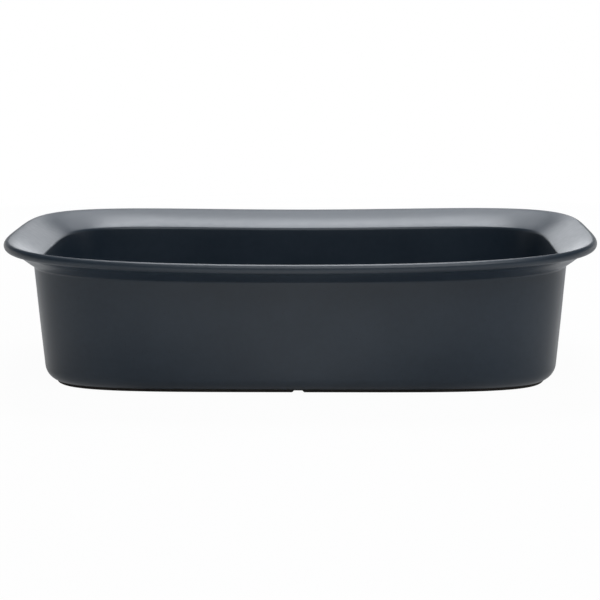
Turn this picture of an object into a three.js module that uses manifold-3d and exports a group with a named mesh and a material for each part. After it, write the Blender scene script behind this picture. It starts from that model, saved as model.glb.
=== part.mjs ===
// A rectangular stoneware roasting dish with straight tapered walls and a wide rim that tilts up and out.
// Millimetres, +Z up. The origin lies on the table under the middle of the dish. X runs along its length,
// and its front faces -Y.
import * as THREE from "three";
import { mergeVertices } from "three/addons/utils/BufferGeometryUtils.js";
import Module from "manifold-3d";

const { degToRad, lerp, smoothstep } = THREE.MathUtils;

// Overall size. In plan the dish is a superellipse: power 2 is an ellipse, and a higher power is squarer.
// The bowl is rounder than the wall outside it, so the clay is thicker at the corners.
const LENGTH = 380;
const WIDTH = 252;
const RIM_HEIGHT = 85.8;
const RIM_POWER = 3.73;
const WALL_POWER = 4.75;
const BOWL_POWER = 4.2;

// The rim sweeps up from the middle of the long sides to the two ends, and the upper wall goes with it.
const END_RISE = 4.6;
const RISE_POWER = 1.9;
const RISE_START = 30;

// The flange reaches out from the line of the wall to a round lip, and its upper face is slightly crowned.
const END_OVERHANG = 18.3;
const SIDE_OVERHANG = 22;
const FLANGE_THICKNESS = 5.6;
const CROWN_RADIUS = 75;
const LIP_TILT = degToRad(13.5);

// The wall leans out. It rounds over into the flange inside, and meets it in a tight cove outside.
const WALL_THICKNESS = 4.9;
const WALL_LEAN = degToRad(4.8);
const BROW_RADIUS = 2.8;
const COVE_RADIUS = 2.2;

// The floor, the hollow corner round it inside and the round heel under the wall outside
const FLOOR_THICKNESS = 7;
const FLOOR_RADIUS = 14;
const HEEL_RADIUS = 9.5;
const HEEL_TURN = degToRad(68);

// The foot ring stands below the heel round a shallow recess. A notch at front and back drains the recess.
const FOOT_HEIGHT = 2.1;
const FOOT_SET_IN = 1;
const FOOT_WIDTH = 7;
const FOOT_EDGE = 0.7;
const RECESS_DEPTH = 2.4;
const DRAIN_WIDTH = 5.2;
const DRAIN_HEIGHT = 1.3;
const DRAIN_FLARE = 1.2;

// The glaze coat, and the margin of bare clay between the panel under the floor and the foot ring
const GLAZE_THICKNESS = 0.5;
const PANEL_MARGIN = 2.5;

// How finely the outline and the round stretches of the section are divided
const OUTLINE_STEPS = 56;
const CORNER_CROWDING = 3.2;

// Places across the wall are given as a reach out from the wall's line at rim height, and a height over the
// table.
const UP = Math.PI / 2;
const lipRadius = FLANGE_THICKNESS / 2;
const lipReach = SIDE_OVERHANG - lipRadius;
const wallNormal = new THREE.Vector2(Math.cos(WALL_LEAN), -Math.sin(WALL_LEAN));
const outerWall = wallNormal.dot(new THREE.Vector2(0, RIM_HEIGHT));
const innerWall = outerWall - WALL_THICKNESS;
const floorTop = RECESS_DEPTH + FLOOR_THICKNESS;

// Plan outlines

// A point of a superellipse and the outward normal there. The steps crowd together at the corners.
function superellipse(halfLength, halfWidth, power, turn) {
  const along = Math.abs(Math.cos(turn)) ** (2 / CORNER_CROWDING);
  const across = Math.abs(Math.sin(turn)) ** (2 / CORNER_CROWDING);
  const size = (along ** power + across ** power) ** (1 / power);
  const signs = new THREE.Vector2(Math.sign(Math.cos(turn)), Math.sign(Math.sin(turn)));
  const unit = new THREE.Vector2(along / size, across / size);
  const point = new THREE.Vector2(halfLength * unit.x, halfWidth * unit.y).multiply(signs);
  const normal = new THREE.Vector2(unit.x ** (power - 1) / halfLength, unit.y ** (power - 1) / halfWidth);
  return { point, normal: normal.multiply(signs).normalize() };
}

// The outline at a reach from the wall's line, which has the power given. It runs parallel to that line
// inside it and to the rim round the lip, and a smooth curve leads from the one to the other.
function outlinePoint(reach, power, turn) {
  const wall = superellipse(LENGTH / 2 - END_OVERHANG, WIDTH / 2 - SIDE_OVERHANG, power, turn);
  const rim = superellipse(LENGTH / 2 - lipRadius, WIDTH / 2 - lipRadius, RIM_POWER, turn);
  if (reach <= 0) return wall.point.addScaledVector(wall.normal, reach);
  if (reach >= lipReach) return rim.point.addScaledVector(rim.normal, reach - lipReach);
  const leaving = wall.point.clone().addScaledVector(wall.normal, lipReach / 3);
  const arriving = rim.point.clone().addScaledVector(rim.normal, -lipReach / 3);
  return new THREE.CubicBezierCurve(wall.point, leaving, arriving, rim.point).getPoint(reach / lipReach);
}

// Section through the wall, from the floor over the rim and down to the foot

// One round stretch, given by the angle of its outward normal at both ends. A rounded edge has its centre
// in the clay and a hollow one outside it, so a depth under the surface gives the clay's parallel curve.
function stretch(centre, radius, hollow, from, to, steps) {
  return (depth) =>
    Array.from({ length: steps + 1 }, (_, i) => {
      const angle = lerp(from, to, i / steps);
      const normal = new THREE.Vector2(Math.cos(angle), Math.sin(angle));
      return centre.clone().addScaledVector(normal, hollow ? -(radius + depth) : radius - depth);
    });
}

// The reach of a line parallel to the wall, at a height.
const reachOnWall = (offset, height) => (offset - wallNormal.y * height) / wallNormal.x;

// The point that an upright normal, tilted inwards, leads to from a centre.
const tilted = (centre, radius, tilt) =>
  new THREE.Vector2(-Math.sin(tilt), Math.cos(tilt)).multiplyScalar(radius).add(centre);

const lipCentre = new THREE.Vector2(lipReach, RIM_HEIGHT - lipRadius);
const crownCentre = tilted(lipCentre, lipRadius - CROWN_RADIUS, LIP_TILT);
const undersideRadius = CROWN_RADIUS - FLANGE_THICKNESS;
const crownOffset = wallNormal.dot(crownCentre);

// The brow touches the inner wall and the crown, and the cove touches the underside and the outer wall.
const browTilt =
  Math.asin((crownOffset - innerWall - BROW_RADIUS) / (CROWN_RADIUS - BROW_RADIUS)) - WALL_LEAN;
const browCentre = tilted(crownCentre, CROWN_RADIUS - BROW_RADIUS, browTilt);
const coveTilt =
  Math.asin((crownOffset - outerWall - COVE_RADIUS) / (undersideRadius - COVE_RADIUS)) - WALL_LEAN;
const coveCentre = tilted(crownCentre, undersideRadius - COVE_RADIUS, coveTilt);

const hollowCentre = new THREE.Vector2(
  reachOnWall(innerWall - FLOOR_RADIUS, floorTop + FLOOR_RADIUS),
  floorTop + FLOOR_RADIUS,
);
const heelHeight = FOOT_HEIGHT + HEEL_RADIUS * Math.sin(HEEL_TURN);
const heelCentre = new THREE.Vector2(reachOnWall(outerWall - HEEL_RADIUS, heelHeight), heelHeight);

const inward = 2 * UP - WALL_LEAN;
const outward = -WALL_LEAN;
const bowlStretches = [
  stretch(hollowCentre, FLOOR_RADIUS, true, UP, inward, 4),
  stretch(browCentre, BROW_RADIUS, false, inward, UP + browTilt, 4),
  stretch(crownCentre, CROWN_RADIUS, false, UP + browTilt, UP + LIP_TILT, 2),
  stretch(lipCentre, lipRadius, false, UP + LIP_TILT, UP, 1),
  stretch(lipCentre, lipRadius, false, UP, 0, 3),
];
const wallStretches = [
  stretch(lipCentre, lipRadius, false, 0, LIP_TILT - UP, 3),
  stretch(crownCentre, undersideRadius, true, LIP_TILT - UP, coveTilt - UP, 2),
  stretch(coveCentre, COVE_RADIUS, true, coveTilt - UP, outward, 3),
  stretch(heelCentre, HEEL_RADIUS, false, outward, -HEEL_TURN, 4),
];

// A place on the section, with the power of its outline.
const bowlPlace = ({ x, y }) => ({ reach: x, height: y, power: BOWL_POWER });
const wallPlace = ({ x, y }) => ({ reach: x, height: y, power: WALL_POWER });
const apart = (a, b) => Math.hypot(a.reach - b.reach, a.height - b.height);

// The glazed surface at a depth, with one place where two stretches meet.
function glazedSection(depth) {
  const places = [
    ...bowlStretches.flatMap((points) => points(depth)).map(bowlPlace),
    ...wallStretches.flatMap((points) => points(depth)).map(wallPlace),
  ];
  return places.filter((place, i) => i === 0 || apart(place, places[i - 1]) > 1e-6);
}

// The bare foot ring below the glaze, from the heel down and round to the recess.
function footSection(heelEnd) {
  const outside = heelEnd.reach - FOOT_SET_IN;
  const inside = outside - FOOT_WIDTH;
  const outerEdge = new THREE.Vector2(outside - FOOT_EDGE, FOOT_EDGE);
  const innerEdge = new THREE.Vector2(inside + FOOT_EDGE, FOOT_EDGE);
  const points = [
    new THREE.Vector2(outside, heelEnd.height),
    ...stretch(outerEdge, FOOT_EDGE, false, 0, -UP, 2)(0),
    ...stretch(innerEdge, FOOT_EDGE, false, -UP, -2 * UP, 2)(0),
    new THREE.Vector2(inside, RECESS_DEPTH),
  ];
  return points.map(wallPlace);
}

// Solids

// How far a point is lifted by the sweep of the rim: nothing low on the wall, the whole rise at the flange.
function lift(x, height) {
  const along = Math.abs(x) / (LENGTH / 2);
  return END_RISE * smoothstep(height, RISE_START, coveCentre.y) * along ** RISE_POWER;
}

// Carries a section round the outline, and closes its first and last rings with flat fans.
function sweep(section) {
  const positions = [];
  for (const { reach, height, power } of section)
    for (let i = 0; i < OUTLINE_STEPS; i++) {
      const { x, y } = outlinePoint(reach, power, (2 * Math.PI * i) / OUTLINE_STEPS);
      positions.push(x, y, height + lift(x, height));
    }
  const firstMiddle = section.length * OUTLINE_STEPS;
  const lastMiddle = firstMiddle + 1;
  positions.push(0, 0, section[0].height, 0, 0, section.at(-1).height);

  // Each four-sided cell is split along its shorter diagonal, so that surfaces that touch are split alike.
  const triangles = [];
  const corner = (index) => new THREE.Vector3().fromArray(positions, 3 * index);
  const lastRing = (section.length - 1) * OUTLINE_STEPS;
  for (let i = 0; i < OUTLINE_STEPS; i++) {
    const next = (i + 1) % OUTLINE_STEPS;
    triangles.push(firstMiddle, i, next);
    triangles.push(lastMiddle, lastRing + next, lastRing + i);
    for (let ring = 0; ring < lastRing; ring += OUTLINE_STEPS) {
      const [a, b] = [ring + i, ring + OUTLINE_STEPS + i];
      const [c, d] = [ring + OUTLINE_STEPS + next, ring + next];
      const splitFromA = corner(a).distanceTo(corner(c)) < corner(b).distanceTo(corner(d));
      triangles.push(...(splitFromA ? [a, b, c, a, c, d] : [a, b, d, b, c, d]));
    }
  }
  const geometry = new THREE.BufferGeometry();
  geometry.setAttribute("position", new THREE.Float32BufferAttribute(positions, 3));
  return geometry.setIndex(triangles);
}

const wasm = await Module();
wasm.setup();

// A closed geometry as a solid that can be cut.
function solid(geometry) {
  const bare = geometry.clone().deleteAttribute("normal").deleteAttribute("uv");
  const merged = mergeVertices(bare);
  return new wasm.Manifold(
    new wasm.Mesh({
      numProp: 3,
      vertProperties: new Float32Array(merged.attributes.position.array),
      triVerts: new Uint32Array(merged.index.array),
    }),
  );
}

// A geometry with the space of another taken out of it.
function cut(geometry, tool) {
  const { vertProperties, triVerts } = solid(geometry).subtract(solid(tool)).getMesh();
  const result = new THREE.BufferGeometry();
  result.setAttribute("position", new THREE.BufferAttribute(vertProperties, 3));
  return result.setIndex(new THREE.BufferAttribute(triVerts, 1));
}

// The drain: a slot that widens downwards. It runs under the whole dish, and so meets only the foot ring.
function drainSlot() {
  const mouth = DRAIN_WIDTH / 2 + 2 * DRAIN_FLARE;
  const profile = new THREE.Shape();
  profile.moveTo(-mouth, -DRAIN_HEIGHT);
  profile.lineTo(mouth, -DRAIN_HEIGHT);
  profile.lineTo(DRAIN_WIDTH / 2, DRAIN_HEIGHT);
  profile.lineTo(-DRAIN_WIDTH / 2, DRAIN_HEIGHT);
  const slot = new THREE.ExtrudeGeometry(profile, { depth: WIDTH, bevelEnabled: false });
  return slot.translate(0, 0, -WIDTH / 2).rotateX(UP);
}

const claySection = glazedSection(GLAZE_THICKNESS);
const footRing = footSection(claySection.at(-1));
const panelReach = footRing.at(-1).reach - PANEL_MARGIN;

const clay = new THREE.MeshStandardMaterial({ color: 0x57524c, roughness: 0.9, metalness: 0 });
const glaze = new THREE.MeshStandardMaterial({ color: 0x1f2c39, roughness: 0.36, metalness: 0 });
const panelGlaze = new THREE.MeshStandardMaterial({ color: 0x1c2733, roughness: 0.42, metalness: 0 });

const dish = new THREE.Group();

const stonewareBody = new THREE.Mesh(cut(sweep([...claySection, ...footRing]), drainSlot()), clay);
stonewareBody.name = "stoneware_body";
dish.add(stonewareBody);

const glazeCoat = new THREE.Mesh(
  sweep([...glazedSection(0), ...glazedSection(GLAZE_THICKNESS).reverse()]),
  glaze,
);
glazeCoat.name = "glaze_coat";
dish.add(glazeCoat);

const undersideGlaze = new THREE.Mesh(
  sweep([
    wallPlace({ x: panelReach, y: RECESS_DEPTH }),
    wallPlace({ x: panelReach, y: RECESS_DEPTH - GLAZE_THICKNESS }),
  ]),
  panelGlaze,
);
undersideGlaze.name = "underside_glaze";
dish.add(undersideGlaze);

export default dish;
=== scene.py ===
import bpy
import numpy as np
from mathutils import Matrix, Vector


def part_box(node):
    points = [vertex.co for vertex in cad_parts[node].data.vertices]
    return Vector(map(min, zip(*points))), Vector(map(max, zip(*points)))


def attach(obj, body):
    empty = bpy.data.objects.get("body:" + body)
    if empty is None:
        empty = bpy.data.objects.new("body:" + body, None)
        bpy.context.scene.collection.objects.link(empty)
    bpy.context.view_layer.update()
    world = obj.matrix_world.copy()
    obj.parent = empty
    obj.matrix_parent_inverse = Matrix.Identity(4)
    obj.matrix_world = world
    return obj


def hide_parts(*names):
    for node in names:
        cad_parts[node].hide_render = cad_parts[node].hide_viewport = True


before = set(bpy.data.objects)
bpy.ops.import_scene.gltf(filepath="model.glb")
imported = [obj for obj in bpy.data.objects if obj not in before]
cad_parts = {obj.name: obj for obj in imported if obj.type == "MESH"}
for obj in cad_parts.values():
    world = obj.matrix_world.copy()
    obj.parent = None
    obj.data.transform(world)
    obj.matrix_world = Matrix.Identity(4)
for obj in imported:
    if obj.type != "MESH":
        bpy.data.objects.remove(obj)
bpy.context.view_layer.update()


# Stoneware body
# The dish itself: dark clay, pressed in a mould as one piece with its floor, leaning walls, wide rim and foot
# ring. After glazing only the foot ring and a strip inside it stay bare, and two notches drain the recess.

coat_low, coat_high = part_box("glaze_coat")
LENGTH = coat_high.x - coat_low.x
WIDTH = coat_high.y - coat_low.y
RIM_HEIGHT = 0.0858
RIM_POWER = 3.73
WALL_POWER = 4.75
BOWL_POWER = 4.2

# The rim rises from the middle of the long sides to the two ends, and the upper wall goes with it.
END_RISE = 0.0046
RISE_POWER = 1.9
RISE_START = 0.030

# The wide rim: how far it stands out from the wall's line, its thickness, and the crown and tilt of its top
END_OVERHANG = 0.0183
SIDE_OVERHANG = 0.022
RIM_THICKNESS = 0.0056
CROWN_RADIUS = 0.075
LIP_TILT = np.radians(13.5)

# The wall, its round brow inside under the rim, and its tight cove outside
WALL_THICKNESS = 0.0049
WALL_LEAN = np.radians(4.8)
BROW_RADIUS = 0.0028
COVE_RADIUS = 0.0022

# The floor with the hollow corner round it, and the heel under the wall
FLOOR_TOP = 0.0094
FLOOR_RADIUS = 0.014
HEEL_RADIUS = 0.0095
HEEL_TURN = np.radians(68)

# The foot ring, the recess inside it and the drain notches
FOOT_HEIGHT = 0.0021
FOOT_SET_IN = 0.001
FOOT_WIDTH = 0.007
FOOT_EDGE = 0.0007
RECESS_DEPTH = 0.0024
DRAIN_WIDTH = 0.0052
DRAIN_HEIGHT = 0.0013
DRAIN_FLARE = 0.0012

GLAZE_THICKNESS = 0.0005

# How fine the grid is: steps round the dish, rings over a flat, the longest straight step across the wall,
# the gap under which two stretches touch, and the steps along each round stretch
STEPS_ROUND = 264
FLOOR_RINGS = 14
STRAIGHT_STEP = 0.004
TOUCHING = 1e-7
HOLLOW_STEPS = 20
BROW_STEPS = 20
CROWN_STEPS = 10
LIP_TOP_STEPS = 14
LIP_LOW_STEPS = 12
UNDERSIDE_STEPS = 10
COVE_STEPS = 12
HEEL_STEPS = 14
FOOT_EDGE_STEPS = 6
SHARP_EDGE = np.radians(40)

# Places across the wall are a reach out from the wall's line at rim height, and a height over the table.
UP = np.pi / 2
LIP_RADIUS = RIM_THICKNESS / 2
LIP_REACH = SIDE_OVERHANG - LIP_RADIUS


def superellipse(half_length, half_width, power, bearing):
    """Points and outward normals of |x/a|^p + |y/b|^p = 1: the direction of the bearing is divided by its
    p-norm and then stretched by a and b."""
    direction = np.stack([np.cos(bearing), np.sin(bearing)], axis=-1)
    unit = np.abs(direction) / (np.abs(direction) ** power).sum(axis=-1, keepdims=True) ** (1 / power)
    half = np.array([half_length, half_width])
    normal = unit ** (power - 1) / half
    normal /= np.linalg.norm(normal, axis=-1, keepdims=True)
    return unit * half * np.sign(direction), normal * np.sign(direction)


def wall_line(power, bearing):
    """The superellipse of the wall's line at rim height. The bowl's is rounder than the outer wall's."""
    return superellipse(LENGTH / 2 - END_OVERHANG, WIDTH / 2 - SIDE_OVERHANG, power, bearing)


def even_bearings(count):
    """Bearings at even steps of a measure that is half length along the wall's line and half its turn."""
    finer = 64
    fine = np.linspace(-np.pi, np.pi, finer * count + 1)
    point, normal = wall_line(WALL_POWER, fine)
    length = np.linalg.norm(np.diff(point, axis=0), axis=1).cumsum()
    turn = np.linalg.norm(np.diff(normal, axis=0), axis=1).cumsum()
    measure = np.append(0, length / length[-1] + turn / turn[-1])
    return np.interp(np.linspace(0, 2, count, endpoint=False), measure, fine)


# The even steps, with closer ones across the drain notches at front and back
NOTCH_STEPS = np.array([-2.2, -1, 0, 0.25, 0.5, 0.75, 1, 1.6])
notch_places = DRAIN_WIDTH / 2 + DRAIN_FLARE * NOTCH_STEPS
notch_places = np.concatenate([-notch_places, notch_places]) / (LENGTH / 2 - END_OVERHANG)
bearings = np.sort(np.concatenate([even_bearings(STEPS_ROUND), notch_places - UP, notch_places + UP]))


def outline(reach, power):
    """Plan outlines, one for each reach: parallel to the wall's line up to it, parallel to the rim's line
    round the lip, and on cubic curves that leave the one and meet the other squarely in between."""
    wall, wall_out = wall_line(power, bearings)
    rim, rim_out = superellipse(LENGTH / 2 - LIP_RADIUS, WIDTH / 2 - LIP_RADIUS, RIM_POWER, bearings)
    reach = reach[..., None]
    part = reach / LIP_REACH
    leaving = wall + wall_out * LIP_REACH / 3
    arriving = rim - rim_out * LIP_REACH / 3
    curve = (1 - part) ** 3 * wall + 3 * (1 - part) ** 2 * part * leaving
    curve = curve + 3 * (1 - part) * part ** 2 * arriving + part ** 3 * rim
    beyond = rim + rim_out * (reach - LIP_REACH)
    return np.where(part <= 0, wall + wall_out * reach, np.where(part >= 1, beyond, curve))


def arc(centre, radius, start, stop, steps):
    """Reach and height along a round stretch, by the angle of its outward normal: centre + radius * normal.
    A negative radius makes a hollow stretch. An end angle may differ from bearing to bearing."""
    share = np.linspace(0, 1, steps + 1)[:, None]
    angle = start + (stop - start) * share + 0 * bearings
    return centre + radius * np.stack([np.cos(angle), np.sin(angle)], axis=-1)


def joined(stretches):
    """One section out of stretches in a row, with straight steps from one to the next."""
    rows = [stretches[0]]
    for after in stretches[1:]:
        before = rows[-1][-1]
        gap = np.linalg.norm(after[0] - before, axis=-1).max()
        steps = int(gap / STRAIGHT_STEP) + 1
        rows.append(np.linspace(before, after[0], steps + 1)[1:-1])
        rows.append(after if gap > TOUCHING else after[1:])
    return np.concatenate([row for row in rows if len(row)])


wall_normal = np.array([np.cos(WALL_LEAN), -np.sin(WALL_LEAN)])
outer_wall = wall_normal[1] * RIM_HEIGHT
inner_wall = outer_wall - WALL_THICKNESS


def reach_on_wall(offset, height):
    """The reach, at a height, of a line parallel to the wall."""
    return (offset - wall_normal[1] * height) / wall_normal[0]


def tilted(centre, radius, tilt):
    """The point that an upright normal, tilted inwards, leads to from a centre."""
    return centre + radius * np.array([-np.sin(tilt), np.cos(tilt)])


# The lip's circle carries the crowned upper face and the underside. The brow touches the upper face and the
# inner wall, and the cove touches the underside and the outer wall.
lip_centre = np.array([LIP_REACH, RIM_HEIGHT - LIP_RADIUS])
crown_centre = tilted(lip_centre, LIP_RADIUS - CROWN_RADIUS, LIP_TILT)
underside_radius = CROWN_RADIUS - RIM_THICKNESS
crown_offset = wall_normal @ crown_centre
brow_sine = (crown_offset - inner_wall - BROW_RADIUS) / (CROWN_RADIUS - BROW_RADIUS)
brow_tilt = np.arcsin(brow_sine) - WALL_LEAN
brow_centre = tilted(crown_centre, CROWN_RADIUS - BROW_RADIUS, brow_tilt)
cove_sine = (crown_offset - outer_wall - COVE_RADIUS) / (underside_radius - COVE_RADIUS)
cove_tilt = np.arcsin(cove_sine) - WALL_LEAN
cove_centre = tilted(crown_centre, underside_radius - COVE_RADIUS, cove_tilt)
hollow_height = FLOOR_TOP + FLOOR_RADIUS
hollow_centre = np.array([reach_on_wall(inner_wall - FLOOR_RADIUS, hollow_height), hollow_height])
heel_height = FOOT_HEIGHT + HEEL_RADIUS * np.sin(HEEL_TURN)
heel_centre = np.array([reach_on_wall(outer_wall - HEEL_RADIUS, heel_height), heel_height])


def bowl_section(depth):
    """The inside of the dish at a depth under its glazed face: hollow corner, brow, crown and lip."""
    inward = 2 * UP - WALL_LEAN
    return joined([
        arc(hollow_centre, -FLOOR_RADIUS - depth, UP, inward, HOLLOW_STEPS),
        arc(brow_centre, BROW_RADIUS - depth, inward, UP + brow_tilt, BROW_STEPS),
        arc(crown_centre, CROWN_RADIUS - depth, UP + brow_tilt, UP + LIP_TILT, CROWN_STEPS),
        arc(lip_centre, LIP_RADIUS - depth, UP + LIP_TILT, 0, LIP_TOP_STEPS),
    ])


def wall_section(depth, heel_turn):
    """The outside of the dish at a depth under its glazed face, from the lip on: underside, cove and heel,
    down to the angle where the heel ends."""
    return joined([
        arc(lip_centre, LIP_RADIUS - depth, 0, LIP_TILT - UP, LIP_LOW_STEPS)[1:],
        arc(crown_centre, -underside_radius - depth, LIP_TILT - UP, cove_tilt - UP, UNDERSIDE_STEPS),
        arc(cove_centre, -COVE_RADIUS - depth, cove_tilt - UP, -WALL_LEAN, COVE_STEPS),
        arc(heel_centre, HEEL_RADIUS - depth, -WALL_LEAN, -heel_turn, HEEL_STEPS),
    ])


def carried_round(section, power):
    """The section carried round the outlines, as rings of points. The rim's sweep lifts each point by the end
    rise times a smooth step over the wall's height, times a power of its distance from the middle. Nothing
    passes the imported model's top."""
    reach, height = section[..., 0], section[..., 1]
    plan = outline(reach, power)
    step = np.clip((height - RISE_START) / (cove_centre[1] - RISE_START), 0, 1)
    share = step ** 2 * (3 - 2 * step) * (np.abs(plan[..., 0]) / (LENGTH / 2)) ** RISE_POWER
    lifted = np.minimum(height + END_RISE * share, coat_high.z)
    return np.concatenate([plan, lifted[..., None]], axis=-1)


def shrinking(ring):
    """Rings that shrink evenly from a flat ring towards its middle, the smallest first."""
    shares = np.linspace(0, 1, FLOOR_RINGS + 1)[1:-1, None, None]
    return ring * np.concatenate([shares, shares, 1 + 0 * shares], axis=-1)


def closed_piece(name, rings):
    """A closed mesh from rings of points: four-sided faces between neighbouring rings, and a fan of triangles
    from the middle of the first ring and of the last."""
    rows, columns, _ = rings.shape
    index = np.arange(rows * columns).reshape(rows, columns)
    after = np.roll(index, -1, axis=1)
    quads = np.stack([index[:-1], index[1:], after[1:], after[:-1]], axis=-1).reshape(-1, 4)
    first = np.full(columns, rows * columns)
    fans = [[first, index[0], after[0]], [first + 1, after[-1], index[-1]]]
    triangles = np.concatenate([np.stack(fan, axis=-1) for fan in fans])
    points = np.concatenate([rings.reshape(-1, 3), rings[[0, -1]].mean(axis=1)])
    mesh = bpy.data.meshes.new(name)
    mesh.from_pydata(points.tolist(), [], quads.tolist() + triangles.tolist())
    mesh.shade_smooth()
    mesh.set_sharp_from_angle(angle=SHARP_EDGE)
    piece = bpy.data.objects.new(name, mesh)
    bpy.context.scene.collection.objects.link(piece)
    return piece


clay_outside = wall_section(GLAZE_THICKNESS, HEEL_TURN)
foot_outside = clay_outside[-1, :, 0] - FOOT_SET_IN
foot_inside = foot_outside - FOOT_WIDTH
heel_end_height = clay_outside[-1, :, 1]


def foot_edge(reach, start, stop):
    """One rounded lower edge of the foot ring, round a line of centres at the given reach."""
    centre = np.stack([reach, FOOT_EDGE + 0 * reach], axis=-1)
    return arc(centre, FOOT_EDGE, start, stop, FOOT_EDGE_STEPS)


foot_ring = joined([
    np.stack([foot_outside, heel_end_height], axis=-1)[None],
    foot_edge(foot_outside - FOOT_EDGE, 0, -UP),
    foot_edge(foot_inside + FOOT_EDGE, -UP, -2 * UP),
    np.stack([foot_inside, RECESS_DEPTH + 0 * foot_inside], axis=-1)[None],
])
clay_wall = np.concatenate([
    carried_round(bowl_section(GLAZE_THICKNESS), BOWL_POWER),
    carried_round(np.concatenate([clay_outside, foot_ring]), WALL_POWER),
])
clay_rings = np.concatenate([shrinking(clay_wall[0]), clay_wall, shrinking(clay_wall[-1])[::-1]])

# The notches lift the underside of the ring to a flat roof between two slanted sides.
from_side = DRAIN_WIDTH / 2 + DRAIN_FLARE - np.abs(clay_rings[..., 0])
notch = DRAIN_HEIGHT * np.clip(from_side / DRAIN_FLARE, 0, 1)
clay_rings[..., 2] = np.maximum(clay_rings[..., 2], notch)
fired_clay = closed_piece("fired_clay", clay_rings)


class Wire:
    """An output socket that takes part in Python sums. Each operator adds the node that works it out."""

    def __init__(self, tree, socket):
        self.tree = tree
        self.socket = socket

    def node(self, kind, settings, sockets, output=0):
        """Adds a node of a type: its settings are set first, then its sockets are linked or set."""
        made = self.tree.nodes.new(kind)
        for name, value in settings.items():
            setattr(made, name, value)
        for name, value in sockets.items():
            self.put(made.inputs[name], value)
        return Wire(self.tree, made.outputs[output])

    def put(self, socket, value):
        """Links a wire to a socket, or sets the socket's own value."""
        if isinstance(value, Wire):
            self.tree.links.new(value.socket, socket)
        else:
            socket.default_value = value

    def math(self, operation, first, second):
        """A sum of two values, by the name of its operation."""
        return self.node("ShaderNodeMath", {"operation": operation}, {0: first, 1: second})

    def __add__(self, other):
        return self.math("ADD", self, other)

    def __sub__(self, other):
        return self.math("SUBTRACT", self, other)

    def __rsub__(self, other):
        return self.math("SUBTRACT", other, self)

    def __mul__(self, other):
        return self.math("MULTIPLY", self, other)

    def __truediv__(self, other):
        return self.math("DIVIDE", self, other)

    def __rtruediv__(self, other):
        return self.math("DIVIDE", other, self)

    __radd__ = __add__
    __rmul__ = __mul__

    def at_least(self, low):
        """The larger of this value and another."""
        return self.math("MAXIMUM", self, low)

    def step(self, low, high):
        """A smooth step from 0 at the low value to 1 at the high one. It falls where low is above high."""
        settings = {"interpolation_type": "SMOOTHSTEP"}
        return self.node("ShaderNodeMapRange", settings, {"Value": self, "From Min": low, "From Max": high})

    def between(self, first, second):
        """A colour mixed from two by this factor."""
        sockets = {"Factor": self, 6: first, 7: second}
        return self.node("ShaderNodeMix", {"data_type": "RGBA"}, sockets, output=2)

    def noise(self, size, detail=2.0):
        """Cloudy noise from 0 to 1 whose blotches are about the given size, at this place."""
        sockets = {"Vector": self, "Scale": 1 / size, "Detail": detail}
        return self.node("ShaderNodeTexNoise", {}, sockets)

    def grains(self, size, radius, share):
        """Round grains: a share of the cells of the given size hold one, with a radius in cells."""
        sockets = {"Vector": self, "Scale": 1 / size}
        apart = self.node("ShaderNodeTexVoronoi", {}, sockets)
        colour = Wire(self.tree, apart.socket.node.outputs["Color"])
        chance = self.node("ShaderNodeSeparateColor", {}, {"Color": colour})
        softness = 0.02
        return apart.step(radius, radius / 2) * chance.step(1 - share, 1 - share + softness)

    def bump(self):
        """The surface normal for this height, in metres."""
        return self.node("ShaderNodeBump", {}, {"Strength": 1.0, "Distance": 1.0, "Height": self})


def new_material(name):
    """A new material, its surface shader and a wire of the piece's own coordinates."""
    made = bpy.data.materials.new(name)
    made.use_nodes = True
    tree = made.node_tree
    place = Wire(tree, tree.nodes.new("ShaderNodeTexCoord").outputs["Object"])
    return made, tree.nodes["Principled BSDF"].inputs, place


CLAY_DARK = (0.050, 0.045, 0.040, 1)
CLAY_PALE = (0.088, 0.080, 0.071, 1)
GROG_PALE = (0.19, 0.17, 0.15, 1)
IRON_DARK = (0.012, 0.010, 0.009, 1)
CLAY_ROUGHNESS = 0.8

# Sizes of the clay's clouds and sand, and the size, radius in cells and share of its two kinds of grains
CLAY_CLOUD = 0.014
CLAY_SAND = 0.0007
GROG_GRAINS = (0.0011, 0.34, 0.22)
IRON_GRAINS = (0.0016, 0.26, 0.14)

# How far each of them stands up from the clay
CLOUD_HEIGHT = 0.00005
SAND_HEIGHT = 0.00006
GROG_HEIGHT = 0.00005
IRON_HEIGHT = -0.00007

clay, surface, place = new_material("bare_clay")
cloud = place.noise(CLAY_CLOUD, detail=4.0)
sand = place.noise(CLAY_SAND, detail=3.0)
pale_grog = place.grains(*GROG_GRAINS)
dark_iron = place.grains(*IRON_GRAINS)
tone = (cloud * 0.6 + sand * 0.4).step(0.3, 0.7).between(CLAY_DARK, CLAY_PALE)
tone = (pale_grog * 0.7).between(tone, GROG_PALE)
tone = dark_iron.between(tone, IRON_DARK)
relief = sand * SAND_HEIGHT + pale_grog * GROG_HEIGHT + dark_iron * IRON_HEIGHT + cloud * CLOUD_HEIGHT
place.put(surface["Base Color"], tone)
place.put(surface["Roughness"], CLAY_ROUGHNESS + sand * 0.15)
place.put(surface["Normal"], relief.bump())
fired_clay.data.materials.append(clay)
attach(fired_clay, "root")
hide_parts("stoneware_body")


# Glaze coat
# The slate-blue satin glaze that is melted on to the inside, the rim and the outside of the dish. It stops at
# a wiped, slightly uneven line on the heel, breaks thin and paler over the edges, and gathers in the hollows.

# Waves of the glaze line: how many go round the dish, where they start, and how large they are
LINE_WAVES = ((3, 0.4, 1.0), (7, 2.1, 0.7), (16, 4.4, 0.5), (37, 1.3, 0.3))
LINE_SLACK = np.radians(3)
BEAD_STEPS = 6

# The length over which a bend is smoothed, and the turn in a metre that counts as the sharpest
BEND_SPREAD = 0.0022
SHARPEST_BEND = 320.0


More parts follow.
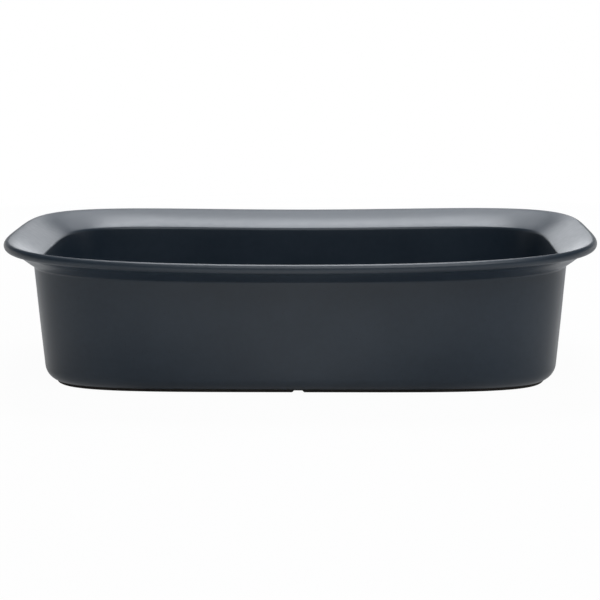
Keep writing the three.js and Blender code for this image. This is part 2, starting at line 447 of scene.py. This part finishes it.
def uneven_line():
    """The heel's end angle where the glaze stops: a little short of the clay's, by a sum of waves."""
    waves = sum(size * np.sin(count * bearings + start) for count, start, size in LINE_WAVES)
    return HEEL_TURN - LINE_SLACK * (1 + waves / sum(size for _, _, size in LINE_WAVES))


def border_bead(heel_turn):
    """The round end of the glaze: half a circle, as wide as the glaze is thick, from its face to its back."""
    half = GLAZE_THICKNESS / 2
    out = np.stack([np.cos(heel_turn), -np.sin(heel_turn)], axis=-1)
    down = np.stack([-np.sin(heel_turn), -np.cos(heel_turn)], axis=-1)
    swing = np.linspace(0, np.pi, BEAD_STEPS + 1)[1:-1, None, None]
    return heel_centre + (HEEL_RADIUS - half) * out + half * (np.cos(swing) * out + np.sin(swing) * down)


def section_bend(section):
    """How sharply the section turns, from -1 in the tightest hollow to 1 on the tightest edge: the turn of
    its direction over its length, smoothed along the section."""
    middle = section[:, 0]
    step = np.gradient(middle, axis=0)
    length = np.append(0, np.linalg.norm(np.diff(middle, axis=0), axis=1).cumsum())
    heading = np.unwrap(np.arctan2(step[:, 1], step[:, 0]))
    turn = -np.gradient(heading)
    near = np.exp(-((length[:, None] - length) / BEND_SPREAD) ** 2)
    return np.clip(near @ turn / (near @ np.gradient(length)) / SHARPEST_BEND, -1, 1)


glaze_line = uneven_line()
face_inside = bowl_section(0)
face_outside = wall_section(0, glaze_line)
back_outside = wall_section(GLAZE_THICKNESS, glaze_line)[::-1]
back_inside = bowl_section(GLAZE_THICKNESS)[::-1]
glaze_wall = np.concatenate([
    carried_round(face_inside, BOWL_POWER),
    carried_round(np.concatenate([face_outside, border_bead(glaze_line), back_outside]), WALL_POWER),
    carried_round(back_inside, BOWL_POWER),
])
glaze_rings = np.concatenate([shrinking(glaze_wall[0]), glaze_wall, shrinking(glaze_wall[-1])[::-1]])
slate_glaze = closed_piece("slate_glaze", glaze_rings)

# Each ring's bend is kept on its points for the material.
flat = np.zeros(FLOOR_RINGS - 1)
face_bend = section_bend(np.concatenate([face_inside, face_outside]))
rest_bend = np.zeros(len(glaze_wall) - len(face_bend))
ring_bend = np.concatenate([flat, face_bend, rest_bend, flat])
point_bend = np.append(np.repeat(ring_bend, len(bearings)), [0, 0])
slate_glaze.data.attributes.new("bend", "FLOAT", "POINT").data.foreach_set("value", point_bend)

GLAZE_DEEP = (0.0150, 0.0265, 0.0410, 1)
GLAZE_SLATE = (0.0248, 0.0385, 0.0555, 1)
GLAZE_THIN = (0.034, 0.045, 0.058, 1)
GLAZE_SPECK = (0.004, 0.006, 0.009, 1)
COAT_ROUGHNESS = 0.36

# Sizes of the glaze's clouds, mottle, ripple and waves, and the size, radius in cells and share of its specks
GLAZE_CLOUD = 0.05
GLAZE_MOTTLE = 0.004
GLAZE_RIPPLE = 0.0012
GLAZE_WAVE = 0.03
SPECK_GRAINS = (0.0028, 0.13, 0.3)

# How far they stand up from the glaze
WAVE_HEIGHT = 0.00008
MOTTLE_HEIGHT = 0.00001
RIPPLE_HEIGHT = 0.000004
SPECK_HEIGHT = -0.00001


def glaze_material(name, roughness):
    """Satin glaze: cloudy slate tones with fine dark specks, thin and paler where the surface bends outwards,
    deep where it bends inwards, with the soft waves and fine ripple of a melted surface."""
    made, surface, place = new_material(name)
    bend = place.node("ShaderNodeAttribute", {"attribute_name": "bend"}, {}, output="Fac")
    thin = bend.at_least(0.0)
    deep = (bend * -1.0).at_least(0.0)
    cloud = place.noise(GLAZE_CLOUD, detail=4.0)
    mottle = place.noise(GLAZE_MOTTLE, detail=3.0)
    ripple = place.noise(GLAZE_RIPPLE, detail=2.0)
    wave = place.noise(GLAZE_WAVE, detail=1.0)
    specks = place.grains(*SPECK_GRAINS)
    tone = (cloud * 0.7 + mottle * 0.3 - deep * 0.25).step(0.25, 0.75).between(GLAZE_DEEP, GLAZE_SLATE)
    tone = (thin * (0.35 + mottle * 0.4)).between(tone, GLAZE_THIN)
    tone = (specks * 0.6).between(tone, GLAZE_SPECK)
    place.put(surface["Base Color"], tone)
    place.put(surface["Roughness"], roughness + (mottle - 0.5) * 0.1 + thin * 0.04 - deep * 0.05)
    relief = wave * WAVE_HEIGHT + mottle * MOTTLE_HEIGHT + ripple * RIPPLE_HEIGHT + specks * SPECK_HEIGHT
    place.put(surface["Normal"], relief.bump())
    return made


slate_glaze.data.materials.append(glaze_material("slate_glaze", COAT_ROUGHNESS))
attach(slate_glaze, "root")
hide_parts("glaze_coat")


# Underside glaze
# A panel of the same glaze in the recess under the floor. It is brushed on with a margin of bare clay round
# it, so that the dish doesn't stick to the kiln shelf.

PANEL_MARGIN = 0.0025
PANEL_WAVE_SIZE = 0.0006
PANEL_WAVES = ((23, 0), (41, 1))
PANEL_ROUGHNESS = 0.42

# The panel's edge waves in and out, and rounds off from its back on the clay to its face.
waves = sum(np.sin(count * bearings + start) for count, start in PANEL_WAVES) / len(PANEL_WAVES)
panel_reach = foot_inside - PANEL_MARGIN - PANEL_WAVE_SIZE * (1 - waves)
panel_height = RECESS_DEPTH - GLAZE_THICKNESS * np.array([0, 1 / 2, 1])
panel_inset = GLAZE_THICKNESS * np.array([0, 1 / 4, 1])
panel_section = np.stack([
    panel_reach - panel_inset[:, None],
    panel_height[:, None] + 0 * bearings,
], axis=-1)
panel_wall = carried_round(panel_section, WALL_POWER)
panel_rings = np.concatenate([shrinking(panel_wall[0]), panel_wall, shrinking(panel_wall[-1])[::-1]])
base_glaze = closed_piece("base_glaze", panel_rings)
base_glaze.data.materials.append(glaze_material("base_glaze", PANEL_ROUGHNESS))
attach(base_glaze, "root")
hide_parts("underside_glaze")


# Table
# The round pale table that the dish stands on. It takes a soft shadow, and runs out into the white of the
# studio. For mirrored rays it glows unevenly, bright before, behind and beside the dish and dim off its
# corners: a painted reflection in the glaze, not lit by any lamp.

TABLE_RADIUS = 3.0
TABLE_STEPS = 96
TABLE_PALE = (0.8, 0.8, 0.8, 1)
TABLE_ROUGHNESS = 0.9
TABLE_SHOWN = 0.97
TABLE_FADE = (0.4, 0.9)

# The painted glow that the glaze mirrors, by how far sideways a place on the table lies from the middle of
# the dish:
# 0 straight before or behind it, 1 straight beside it. Close to the foot the glow is dimmed before the dish:
# a painted shadow of the dish, seen in its reflection.
FRONT_WHITE = 0.66
FRONT_FADE = (0.65, 0.0)
FOOT_PAINTED_SHADOW = (0.08, 0.15)
SIDE_WHITE = 0.6
SIDE_FADE = (0.68, 1.0)
CORNER_WHITE = 0.06


def table_edge(height):
    """Points round the edge of the table, at a height over it."""
    turn = np.linspace(0, 2 * np.pi, TABLE_STEPS, endpoint=False)
    return np.stack([TABLE_RADIUS * np.cos(turn), TABLE_RADIUS * np.sin(turn), height + 0 * turn], axis=-1)


def stage_piece(name, points, faces):
    """A piece of the stage in a pale matt material. Gives the material's node tree and the place on it."""
    mesh = bpy.data.meshes.new(name)
    mesh.from_pydata(points.tolist(), [], faces.tolist())
    piece = bpy.data.objects.new(name, mesh)
    bpy.context.scene.collection.objects.link(piece)
    pale, surface, place = new_material(name)
    place.put(surface["Base Color"], TABLE_PALE)
    place.put(surface["Roughness"], TABLE_ROUGHNESS)
    place.put(surface["Specular IOR Level"], 0.0)
    mesh.materials.append(pale)
    return pale.node_tree, place


def background_rays(tree):
    """1 for the camera's rays, and 1 for mirrored or bent ones."""
    path = tree.nodes.new("ShaderNodeLightPath").outputs
    mirrored = Wire(tree, path["Is Glossy Ray"]).at_least(Wire(tree, path["Is Transmission Ray"]))
    return Wire(tree, path["Is Camera Ray"]), mirrored


def show_white(tree, share):
    """Lays an even white over the lit surface of a material, by a share."""
    lit = Wire(tree, tree.nodes["Principled BSDF"].outputs["BSDF"])
    white = lit.node("ShaderNodeEmission", {}, {"Color": (1, 1, 1, 1), "Strength": 1.0})
    shown = lit.node("ShaderNodeMixShader", {}, {0: share, 1: lit, 2: white})
    shown.put(tree.nodes["Material Output"].inputs["Surface"], shown)


steps = np.arange(TABLE_STEPS)
table_tree, place = stage_piece("table", table_edge(0.0), steps[None])
camera_ray, mirrored_ray = background_rays(table_tree)
away = place.node("ShaderNodeVectorMath", {"operation": "LENGTH"}, {0: place}, output="Value")
across = place.node("ShaderNodeSeparateXYZ", {}, {0: place}, output="X")
sideways = across.at_least(across * -1.0) / away
# Painted reflection: a glow seen only by mirrored rays, bright before and beside the dish, dimmed near its
# foot as a painted shadow
front = sideways.step(*FRONT_FADE) * away.step(*FOOT_PAINTED_SHADOW) * FRONT_WHITE
white = front + sideways.step(*SIDE_FADE) * SIDE_WHITE + CORNER_WHITE
share = camera_ray * TABLE_SHOWN + mirrored_ray * white
show_white(table_tree, share.at_least((camera_ray + mirrored_ray) * away.step(*TABLE_FADE)))


# Backdrop
# A low white wall round the edge of the table. The camera sees it as an even white all round. The glaze
# mirrors that white behind the dish, less of it beside the dish, and none in front, where the studio is dark.

BACKDROP_HEIGHT = 0.8
BACKDROP_FADE = (-1.0, 1.0)

after = np.roll(steps, -1)
wall_faces = np.stack([after, steps, steps + TABLE_STEPS, after + TABLE_STEPS], axis=-1)
wall_points = np.concatenate([table_edge(0.0), table_edge(BACKDROP_HEIGHT)])
backdrop_tree, place = stage_piece("backdrop", wall_points, wall_faces)
camera_ray, mirrored_ray = background_rays(backdrop_tree)
behind = place.node("ShaderNodeSeparateXYZ", {}, {0: place}, output="Y")
show_white(backdrop_tree, camera_ray + mirrored_ray * behind.step(*BACKDROP_FADE))


# Studio light
# Slightly cool softboxes: a bright one above the dish, dimmer ones behind and in front of it, and a strip
# light low behind it. The room itself is dim.

ROOM_LEVEL = 0.05
LIGHT_COLOUR = (0.96, 0.995, 1.045)
LIGHT_TARGET = Vector((0.0, 0.0, 0.06))


def softbox(name, spot, size, radiance):
    """A rectangular lamp at a spot, aimed at the dish. Its power is pi times its radiance and its area."""
    lamp = bpy.data.lights.new(name, "AREA")
    lamp.shape = "RECTANGLE"
    lamp.size, lamp.size_y = size
    lamp.color = LIGHT_COLOUR
    lamp.energy = np.pi * radiance * size[0] * size[1]
    holder = bpy.data.objects.new(name, lamp)
    holder.location = spot
    holder.rotation_euler = (LIGHT_TARGET - Vector(spot)).to_track_quat("-Z", "Y").to_euler()
    bpy.context.scene.collection.objects.link(holder)


softbox("top_softbox", (0.0, 0.55, 1.26), (0.6, 0.35), 14.5)
softbox("back_softbox", (0.0, 1.0, 0.9), (0.6, 0.42), 2.7)
softbox("front_softbox", (0.27, -0.735, 1.10), (0.8, 0.95), 3.4)
softbox("low_strip", (0.0, 1.05, 0.25), (0.6, 0.27), 2.1)

room = bpy.data.worlds.new("studio_room")
room.use_nodes = True
room.node_tree.nodes["Background"].inputs["Color"].default_value = (1, 1, 1, 1)
room.node_tree.nodes["Background"].inputs["Strength"].default_value = ROOM_LEVEL
bpy.context.scene.world = room


# Camera
# The photograph's view: a long lens about a metre in front of the dish, above the height of its rim and just
# right of its middle. The place and the lens were fitted to the dish's outline in the photograph.

PHOTO_PIXELS = 600
FOCAL_PIXELS = 1698.9
CAMERA_PLACE = (0.0286, -1.1159, 0.2519)
CAMERA_HEADING = np.radians(1.52)
CAMERA_PITCH = np.radians(10.68)
CAMERA_ROLL = np.radians(0.26)

camera = bpy.data.cameras.new("camera")
camera.sensor_fit = "HORIZONTAL"
camera.lens = camera.sensor_width * FOCAL_PIXELS / PHOTO_PIXELS
camera_object = bpy.data.objects.new("camera", camera)
heading = Matrix.Rotation(CAMERA_HEADING, 4, "Z")
pitch = Matrix.Rotation(UP - CAMERA_PITCH, 4, "X")
roll = Matrix.Rotation(-CAMERA_ROLL, 4, "Z")
camera_object.matrix_world = Matrix.Translation(CAMERA_PLACE) @ heading @ pitch @ roll
bpy.context.scene.collection.objects.link(camera_object)
bpy.context.scene.camera = camera_object
bpy.context.scene.view_settings.view_transform = "Standard"
